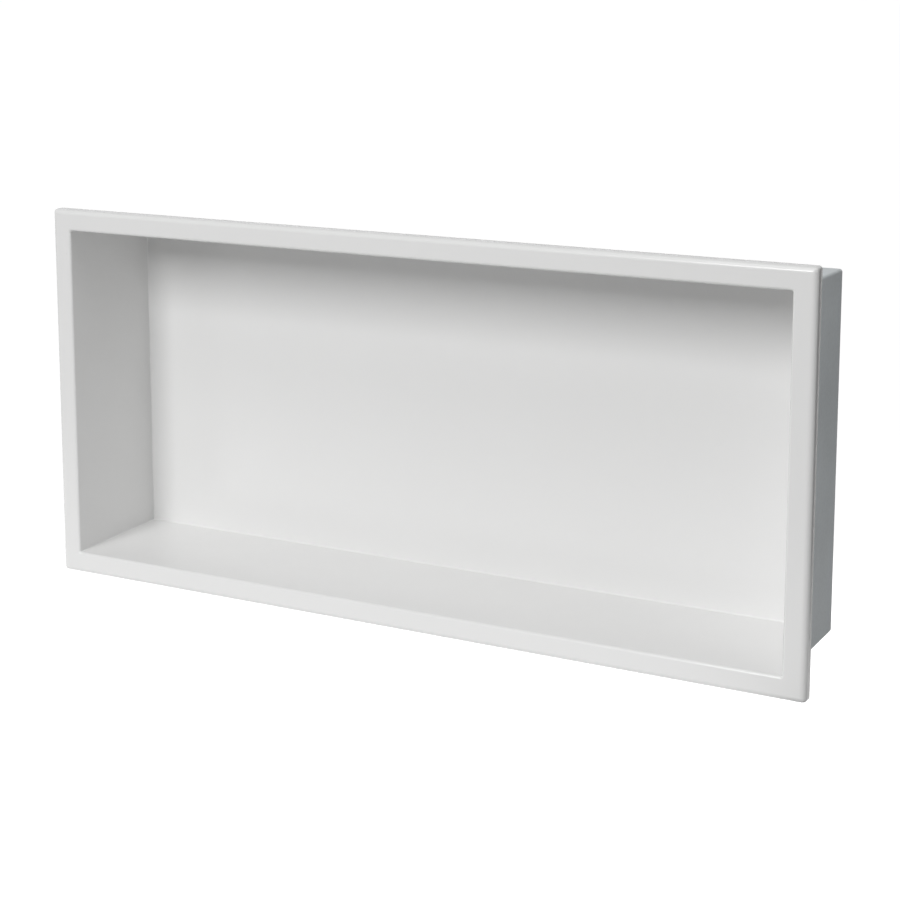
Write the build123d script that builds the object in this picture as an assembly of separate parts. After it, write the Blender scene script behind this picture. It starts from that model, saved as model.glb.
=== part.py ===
from build123d import *
from math import atan, cos, tan
import os

# Shower niche insert: one steel sheet folded into a shallow tray, with a flange
# round the mouth whose edge is rolled back to meet the wall. The seams at the
# corners are welded and ground flush. Millimetres, +X right, +Y into the wall,
# +Z up. The origin is the middle of the mouth, on the wall's surface, where the
# rolled edge of the flange sits.

# Driving dimensions
opening_width = 568.0   # clear mouth, side to side
opening_height = 250.0  # clear mouth, floor to ceiling at the front
overall_depth = 96.0    # flange face to the back of the tray
flange_width = 16.0     # mouth to the outer edge of the flange
return_depth = 9.0      # flange face to the wall, the tile's thickness
sheet = 1.2             # steel thickness, the same on every fold
fold_radius = 1.0       # inside radius of the sharp folds of the tray
rim_radius = 4.0        # outside radius of the flange's rolled edge
corner_radius = 2.5     # ground weld on the flange's four corners, seen from the front
floor_fall = 3.0        # drop of the floor from the back to the mouth, for drainage

# Worked out from them
rim_width = opening_width + 2 * flange_width
rim_height = opening_height + 2 * flange_width
front = -return_depth
cavity_depth = overall_depth - sheet
floor_slope = atan(floor_fall / cavity_depth)
past = 1.0              # how far a cut runs out past the face it opens


def rim_block(skin, rear):
    """The flange with its rolled edge, as a full block up to the plane rear. The block
    lies skin below the outer surface, so a skin of zero gives that surface."""
    depth = rear - front - skin
    block = Pos(0, rear - depth / 2, 0) * Box(rim_width - 2 * skin, depth, rim_height - 2 * skin)
    face = block.faces().sort_by(Axis.Y)[0]
    rolled_top_and_bottom = fillet(face.edges().filter_by(Axis.X), rim_radius - skin)
    rolled_sides = fillet(face.edges().filter_by(Axis.Z), rim_radius - skin)
    ground_corners = fillet(block.edges().filter_by(Axis.Y), corner_radius - skin)
    return rolled_top_and_bottom & rolled_sides & ground_corners


def tray_block(wall, start):
    """The tray as a full block from the plane start to the back. The block lies wall
    outside the inner surface, so a wall of zero gives the space inside the niche."""
    back = front + cavity_depth + wall
    ceiling = opening_height / 2 + wall

    def floor(y):
        return -opening_height / 2 - wall / cos(floor_slope) + (y - front) * tan(floor_slope)

    side = Polyline((start, ceiling), (back, ceiling), (back, floor(back)), (start, floor(start)), close=True)
    block = extrude(Plane.YZ * make_face(side), opening_width / 2 + wall, both=True)
    mouth = block.faces().sort_by(Axis.Y)[0]
    return fillet(block.edges() - mouth.edges(), fold_radius + wall)


def flat_faces(body):
    """The faces that lie across the niche, from front to back: the flange's front and
    rear, the rim of the rolled edge, and the tray's back inside and outside."""
    return body.faces().filter_by(Axis.Y).sort_by(Axis.Y)


def niche_insert():
    rim = rim_block(0, 0) - rim_block(sheet, past)
    niche = rim + tray_block(sheet, front) - tray_block(0, front - past)
    # the fold between wall and flange keeps the sheet's thickness on both sides
    niche = fillet(flat_faces(niche)[1].inner_wires()[0].edges(), fold_radius)
    niche = fillet(flat_faces(niche)[0].inner_wires()[0].edges(), fold_radius + sheet)
    return niche.solid()


os.makedirs("parts", exist_ok=True)
export_step(niche_insert(), "parts/niche_insert.step")
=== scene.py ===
from math import radians

import bmesh
import bpy
from mathutils import Matrix, Vector


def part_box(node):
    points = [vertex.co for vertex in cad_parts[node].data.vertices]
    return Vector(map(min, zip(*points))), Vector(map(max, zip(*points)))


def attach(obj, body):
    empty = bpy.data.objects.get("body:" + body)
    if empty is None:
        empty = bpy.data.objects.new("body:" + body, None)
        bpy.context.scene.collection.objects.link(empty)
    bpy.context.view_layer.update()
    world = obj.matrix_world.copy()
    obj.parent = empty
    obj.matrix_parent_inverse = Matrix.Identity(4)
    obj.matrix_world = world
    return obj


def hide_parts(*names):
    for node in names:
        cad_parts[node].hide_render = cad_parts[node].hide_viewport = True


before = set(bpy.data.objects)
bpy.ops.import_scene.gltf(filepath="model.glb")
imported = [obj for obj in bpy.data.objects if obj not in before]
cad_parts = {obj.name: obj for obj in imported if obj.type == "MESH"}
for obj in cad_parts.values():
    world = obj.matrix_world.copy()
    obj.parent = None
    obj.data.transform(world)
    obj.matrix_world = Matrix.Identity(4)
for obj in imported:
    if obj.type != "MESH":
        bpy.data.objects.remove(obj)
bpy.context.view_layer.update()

low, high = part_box("niche_insert")
print("frame loaded, insert spans", [round(size * 1000, 1) for size in high - low], "mm")


# small helpers for objects and node trees

noiseEnds = (0.3, 0.7)       # most of a noise lies between these


def newPiece(name, bm):
    mesh = bpy.data.meshes.new(name)
    bm.to_mesh(mesh)
    bm.free()
    piece = bpy.data.objects.new(name, mesh)
    bpy.context.scene.collection.objects.link(piece)
    return piece


def newMaterial(name):
    material = bpy.data.materials.new(name)
    material.use_nodes = True
    nodes = material.node_tree.nodes
    nodes.clear()
    output = nodes.new("ShaderNodeOutputMaterial")
    skin = nodes.new("ShaderNodeBsdfPrincipled")
    material.node_tree.links.new(skin.outputs["BSDF"], output.inputs["Surface"])
    return material, skin


def addNode(material, kind, inputs=None, **settings):
    node = material.node_tree.nodes.new(kind)
    for name, value in settings.items():
        setattr(node, name, value)
    for socket, value in (inputs or {}).items():
        if isinstance(value, bpy.types.NodeSocket):
            material.node_tree.links.new(value, node.inputs[socket])
        else:
            node.inputs[socket].default_value = value
    return node


def noiseAt(material, place, scale, detail=2.0):
    noise = addNode(material, "ShaderNodeTexNoise", {"Vector": place, "Scale": scale, "Detail": detail})
    return noise.outputs["Fac"]


def remap(material, value, fromLow, fromHigh, toLow, toHigh):
    ramp = addNode(material, "ShaderNodeMapRange",
                   {0: value, 1: fromLow, 2: fromHigh, 3: toLow, 4: toHigh})
    return ramp.outputs["Result"]


def noiseBetween(material, noise, least, most):
    return remap(material, noise, *noiseEnds, least, most)


def times(material, first, second):
    return addNode(material, "ShaderNodeMath", {0: first, 1: second}, operation="MULTIPLY").outputs[0]


def tint(material, colour, strength):
    scaled = addNode(material, "ShaderNodeVectorMath", {0: colour, "Scale": strength}, operation="SCALE")
    return scaled.outputs["Vector"]


# white powder coat: satin, orange peel, a few dust nibs under the paint

powderCoat = {
    "white": (0.82, 0.82, 0.816),
    "roughness": (0.20, 0.24),
    "glossScale": 63.0,      # scales are in waves or cells per metre
    "ior": 1.5,
    "peelScale": 620.0,
    "peelHeight": 0.000005,
    "cloudScale": 7.0,
    "cloudDepth": 0.992,     # darkest cloud, times the white
    "nibScale": 30.0,
    "nibRadius": 0.0006,
    "nibCore": 0.4,          # share of the radius that is fully dark
    "nibDepth": 0.93,
}


def makePowderCoat():
    coat, skin = newMaterial("powderCoat")
    links = coat.node_tree.links
    place = addNode(coat, "ShaderNodeTexCoord").outputs["Object"]
    cloudNoise = noiseAt(coat, place, powderCoat["cloudScale"])
    clouds = noiseBetween(coat, cloudNoise, powderCoat["cloudDepth"], 1.0)
    cells = addNode(coat, "ShaderNodeTexVoronoi", {"Vector": place, "Scale": powderCoat["nibScale"]})
    nibEdge = powderCoat["nibRadius"] * powderCoat["nibScale"]
    nibCore = nibEdge * powderCoat["nibCore"]
    nibs = remap(coat, cells.outputs["Distance"], nibCore, nibEdge, powderCoat["nibDepth"], 1.0)
    white = tint(coat, powderCoat["white"], times(coat, clouds, nibs))
    links.new(white, skin.inputs["Base Color"])

    glossNoise = noiseAt(coat, place, powderCoat["glossScale"])
    links.new(noiseBetween(coat, glossNoise, *powderCoat["roughness"]), skin.inputs["Roughness"])
    peel = noiseAt(coat, place, powderCoat["peelScale"], detail=1.0)
    bump = addNode(coat, "ShaderNodeBump",
                   {"Height": peel, "Distance": powderCoat["peelHeight"], "Strength": 1.0})
    links.new(bump.outputs["Normal"], skin.inputs["Normal"])
    skin.inputs["IOR"].default_value = powderCoat["ior"]
    return coat


# outside of the tray: a thin coat blown over the steel, thicker near the flange

thinCoat = {
    "grey": (0.725, 0.765, 0.782),   # steel showing through the coat
    "white": (0.79, 0.794, 0.794),
    "sprayEnds": (0.004, 0.030),     # depth behind the wall where the coat thins out
    "sprayRagged": 0.014,            # how far that depth wanders
    "raggedEnds": (0.2, 0.8),
    "roughness": (0.48, 0.58),
    "specular": 0.3,
    "grainScale": 420.0,
    "grainDepth": (0.97, 1.03),
    "patchScale": 16.0,
    "patchDepth": (0.93, 1.04),
}


def makeThinCoat():
    thin, skin = newMaterial("thinCoat")
    links = thin.node_tree.links
    place = addNode(thin, "ShaderNodeTexCoord").outputs["Object"]
    grain = noiseAt(thin, place, thinCoat["grainScale"], detail=3.0)
    patches = noiseAt(thin, place, thinCoat["patchScale"], detail=3.0)
    shade = times(thin, noiseBetween(thin, grain, *thinCoat["grainDepth"]),
                  noiseBetween(thin, patches, *thinCoat["patchDepth"]))

    depth = addNode(thin, "ShaderNodeSeparateXYZ", {"Vector": place}).outputs["Y"]
    sway = thinCoat["sprayRagged"] / 2
    ragged = remap(thin, patches, *thinCoat["raggedEnds"], -sway, sway)
    sprayDepth = addNode(thin, "ShaderNodeMath", {0: depth, 1: ragged}, operation="ADD").outputs[0]
    bare = remap(thin, sprayDepth, *thinCoat["sprayEnds"], 0.0, 1.0)
    colour = addNode(thin, "ShaderNodeMix", {"Factor": bare}, data_type="RGBA")
    colour.inputs["A"].default_value = (*thinCoat["white"], 1)
    links.new(tint(thin, thinCoat["grey"], shade), colour.inputs["B"])
    links.new(colour.outputs["Result"], skin.inputs["Base Color"])
    links.new(noiseBetween(thin, patches, *thinCoat["roughness"]), skin.inputs["Roughness"])
    skin.inputs["Specular IOR Level"].default_value = thinCoat["specular"]
    return thin


# the insert: one sheet, drawn as its visible skin and thickened behind it

insert = {
    "flange": 0.016,         # mouth to the outer edge
    "sheet": 0.0012,
    "floorFall": 0.003,      # the floor drops this much towards the mouth
    "foldRadius": 0.001,     # inside folds of the tray
    "mouthRadius": 0.0022,   # bend from the tray into the flange
    "rimRadius": 0.004,      # rolled edge of the flange
    "cornerRadius": 0.0025,  # dressed weld on the flange's corners
    "foldSteps": 5,
    "rimSteps": 8,
    "foldTurn": 1.0,         # radians; an edge that turns less is not a fold
    "near": 0.00001,         # points this close count as level
}


def roundOver(bm, edges, radius, steps):
    bmesh.ops.bevel(bm, geom=edges, offset=radius, offset_type="OFFSET", affect="EDGES", segments=steps,
                    profile=0.5, material=-1, clamp_overlap=False)


def foldSheet():
    near = insert["near"]
    front, back = low.y, high.y - insert["sheet"]
    rimX, rimZ = high.x, high.z
    mouthX, mouthZ = rimX - insert["flange"], rimZ - insert["flange"]
    bm = bmesh.new()

    def inMouth(point):
        return point.y < front + near and abs(point.x) < mouthX + near and abs(point.z) < mouthZ + near

    def onRim(point):
        return abs(point.x) > rimX - near or abs(point.z) > rimZ - near

    def edgesWhere(rule):
        return [edge for edge in bm.edges if rule(*(vert.co for vert in edge.verts))]

    # flange face, with its mitres dissolved so that the corner folds run out cleanly
    bmesh.ops.create_grid(bm, x_segments=2, y_segments=2, size=1)
    bmesh.ops.rotate(bm, verts=bm.verts, matrix=Matrix.Rotation(radians(90), 3, "X"))
    bmesh.ops.scale(bm, verts=bm.verts, vec=(rimX, 1, rimZ))
    bmesh.ops.translate(bm, verts=bm.verts, vec=(0, front, 0))
    bmesh.ops.inset_region(bm, faces=bm.faces, thickness=insert["flange"],
                           use_boundary=True, use_even_offset=True)
    mitres = edgesWhere(lambda a, b: abs(a.x - b.x) > near and abs(a.z - b.z) > near)
    bmesh.ops.dissolve_edges(bm, edges=mitres)

    # tray pushed back from the mouth, its floor raised at the back
    mouth = [face for face in bm.faces if all(inMouth(vert.co) for vert in face.verts)]
    pushed = bmesh.ops.extrude_face_region(bm, geom=mouth)["geom"]
    bmesh.ops.delete(bm, geom=mouth, context="FACES")
    panel = [part for part in pushed if isinstance(part, bmesh.types.BMVert)]
    bmesh.ops.translate(bm, verts=panel, vec=(0, back - front, 0))
    heel = [vert for vert in panel if vert.co.z < near - mouthZ]
    bmesh.ops.translate(bm, verts=heel, vec=(0, 0, insert["floorFall"]))

    # edge of the flange turned back to the wall
    turned = bmesh.ops.extrude_edge_only(bm, edges=[edge for edge in bm.edges if edge.is_boundary])["geom"]
    turned = [part for part in turned if isinstance(part, bmesh.types.BMVert)]
    bmesh.ops.translate(bm, verts=turned, vec=(0, -front, 0))

    # sharp folds of the tray, then the bend at its mouth
    inTray = edgesWhere(lambda a, b: max(a.y, b.y) > back - near)
    folds = [edge for edge in inTray if edge.calc_face_angle() > insert["foldTurn"]]
    roundOver(bm, folds, insert["foldRadius"], insert["foldSteps"])
    mouthBend = edgesWhere(lambda a, b: inMouth(a) and inMouth(b))
    roundOver(bm, mouthBend, insert["mouthRadius"], insert["rimSteps"])

    # the rolled edge and its corners have two radii, so they are weighted for the Bevel modifier
    weight = bm.edges.layers.float.new("bevel_weight_edge")
    for edge in edgesWhere(lambda a, b: onRim(a) and onRim(b)):
        if edge.is_boundary or edge.calc_face_angle() < insert["foldTurn"]:
            continue
        along = abs(edge.verts[0].co.y - edge.verts[1].co.y) > near
        edge[weight] = insert["cornerRadius"] / insert["rimRadius"] if along else 1.0
    for face in bm.faces:
        face.smooth = True
    return bm


def makeInsert():
    piece = newPiece("nicheInsert", foldSheet())
    piece.data.materials.append(makePowderCoat())
    piece.data.materials.append(makeThinCoat())

    rolled = piece.modifiers.new("rolledEdge", "BEVEL")
    rolled.limit_method = "WEIGHT"
    rolled.offset_type = "OFFSET"
    rolled.width = insert["rimRadius"]
    rolled.segments = insert["rimSteps"]
    rolled.use_clamp_overlap = False
    thick = piece.modifiers.new("sheet", "SOLIDIFY")
    thick.thickness = insert["sheet"]
    thick.offset = -1
    thick.use_even_offset = True
    thick.material_offset = 1        # the rear skin has the thin coat
    thick.material_offset_rim = 0
    piece.modifiers.new("flats", "WEIGHTED_NORMAL")
    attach(piece, "root")
    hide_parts("niche_insert")


makeInsert()
print("insert folded and coated")


# floor at the height that a niche is built in, and a white studio round it

studio = {
    "floorDrop": 1.1,            # middle of the niche to the floor
    "floorSize": 160.0,
    "floorWhite": (0.3, 0.3, 0.3),
    "floorGlow": (0.88, 1.0),    # added for the camera and reflections, near and far
    "glowSpread": (1.2, 1.9),    # metres from the middle, over which the floor fades into the backdrop
    "backdrop": (1.0, 1.0, 1.0),
    "ambient": (0.04, 0.04, 0.04),
    "mattRoughness": 0.9,
    "mattSpecular": 0.0,
}


def newMatt(name, colour):
    matt, skin = newMaterial(name)
    skin.inputs["Base Color"].default_value = (*colour, 1)
    skin.inputs["Roughness"].default_value = studio["mattRoughness"]
    skin.inputs["Specular IOR Level"].default_value = studio["mattSpecular"]
    return matt, skin


def backdropRays(tree):
    path = tree.nodes.new("ShaderNodeLightPath")
    seen = path.outputs["Is Camera Ray"]
    for kind in ("Is Glossy Ray", "Is Transmission Ray"):
        either = tree.nodes.new("ShaderNodeMath")
        either.operation = "MAXIMUM"
        tree.links.new(seen, either.inputs[0])
        tree.links.new(path.outputs[kind], either.inputs[1])
        seen = either.outputs[0]
    return seen


def makeFloor():
    bm = bmesh.new()
    bmesh.ops.create_grid(bm, x_segments=1, y_segments=1, size=studio["floorSize"] / 2)
    bmesh.ops.translate(bm, verts=bm.verts, vec=(0, 0, -studio["floorDrop"]))
    floor = newPiece("floor", bm)
    pale, skin = newMatt("paleFloor", studio["floorWhite"])
    place = addNode(pale, "ShaderNodeTexCoord").outputs["Object"]
    level = addNode(pale, "ShaderNodeVectorMath", {0: place, 1: (1, 1, 0)}, operation="MULTIPLY").outputs[0]
    reach = addNode(pale, "ShaderNodeVectorMath", {0: level}, operation="LENGTH").outputs["Value"]
    glow = remap(pale, reach, *studio["glowSpread"], *studio["floorGlow"])
    strength = times(pale, glow, backdropRays(pale.node_tree))
    pale.node_tree.links.new(strength, skin.inputs["Emission Strength"])
    skin.inputs["Emission Color"].default_value = (*studio["backdrop"], 1)
    floor.data.materials.append(pale)


def makeWorld():
    world = bpy.data.worlds.new("studio")
    bpy.context.scene.world = world
    world.use_nodes = True
    nodes, links = world.node_tree.nodes, world.node_tree.links
    nodes.clear()
    output = nodes.new("ShaderNodeOutputWorld")
    mix = nodes.new("ShaderNodeMixShader")
    dim = nodes.new("ShaderNodeBackground")
    white = nodes.new("ShaderNodeBackground")
    dim.inputs["Color"].default_value = (*studio["ambient"], 1)
    white.inputs["Color"].default_value = (*studio["backdrop"], 1)
    links.new(backdropRays(world.node_tree), mix.inputs["Fac"])
    links.new(dim.outputs[0], mix.inputs[1])
    links.new(white.outputs[0], mix.inputs[2])
    links.new(mix.outputs[0], output.inputs["Surface"])


# a dark card behind the right side, unseen like the lamps, keeps white reflections off the rolled edge

flag = {
    "left": 0.56,
    "right": 2.8,
    "behind": 2.8,
    "top": 0.45,
    "grey": (0.04, 0.04, 0.04),
}


def makeFlag():
    foot = -studio["floorDrop"]
    middle = ((flag["left"] + flag["right"]) / 2, flag["behind"], (flag["top"] + foot) / 2)
    bm = bmesh.new()
    bmesh.ops.create_grid(bm, x_segments=1, y_segments=1, size=0.5)
    bmesh.ops.rotate(bm, verts=bm.verts, matrix=Matrix.Rotation(radians(90), 3, "X"))
    bmesh.ops.scale(bm, verts=bm.verts, vec=(flag["right"] - flag["left"], 1, flag["top"] - foot))
    bmesh.ops.translate(bm, verts=bm.verts, vec=middle)
    card = newPiece("flag", bm)
    card.visible_camera = False
    card.data.materials.append(newMatt("darkCard", flag["grey"])[0])


# a large soft key, a weak lamp overhead, one at the side and one low behind;
# the last two stand for what a white table throws up at the flange and the right side

lamps = {
    "key": {"place": (-0.34, -3.23, 1.77), "aim": (0, 0, 0), "size": (1.5, 1.5), "power": 88.5},
    "over": {"place": (-0.22, -1.25, 2.72), "aim": (0, 0, 0), "size": (1.6, 1.6), "power": 17.0},
    "side": {"place": (2.6, -0.08, 1.4), "aim": (0, 0, 0), "size": (1.6, 1.6), "power": 14.0},
    "back": {"place": (-1.9, 2.8, -0.35), "aim": (0, 0, -0.1), "size": (2.4, 0.8), "power": 62.0},
    "tableFront": {"place": (-0.22, -0.155, -0.165), "aim": (-0.22, -0.155, 0),
                   "size": (1.0, 0.49), "power": 0.74},
    "tableRight": {"place": (0.53, 0.08, -0.165), "aim": (0.53, 0.08, 0),
                   "size": (0.36, 0.5), "power": 0.15},
}


def makeLamps():
    for name, lamp in lamps.items():
        light = bpy.data.lights.new(name, "AREA")
        light.shape = "RECTANGLE"
        light.size, light.size_y = lamp["size"]
        light.energy = lamp["power"]
        holder = bpy.data.objects.new(name, light)
        holder.location = lamp["place"]
        holder.rotation_euler = (Vector(lamp["aim"]) - holder.location).to_track_quat("-Z", "Y").to_euler()
        holder.visible_camera = False
        bpy.context.scene.collection.objects.link(holder)


makeFloor()
makeWorld()
makeFlag()
makeLamps()
print("floor, world, card and", len(lamps), "lamps in place")


# camera, from the straight edges in the photograph, with a little lens shift for the upright sides

view = {
    "place": (0.7007, -1.2045, 0.3331),
    "heading": 28.85,        # degrees left of straight on
    "pitch": 9.63,           # degrees down
    "lens": 81.8,
    "sensor": 36.0,
    "shiftY": -0.17,
    "clipEnd": 100.0,        # metres, past the floor's edges
}


def makeCamera():
    camera = bpy.data.cameras.new("camera")
    camera.lens = view["lens"]
    camera.sensor_width = view["sensor"]
    camera.shift_y = view["shiftY"]
    camera.clip_end = view["clipEnd"]
    holder = bpy.data.objects.new("camera", camera)
    holder.location = view["place"]
    holder.rotation_euler = (radians(90 - view["pitch"]), 0, radians(view["heading"]))
    bpy.context.scene.collection.objects.link(holder)
    bpy.context.scene.camera = holder


makeCamera()
bpy.context.scene.view_settings.view_transform = "Standard"
print("camera set")
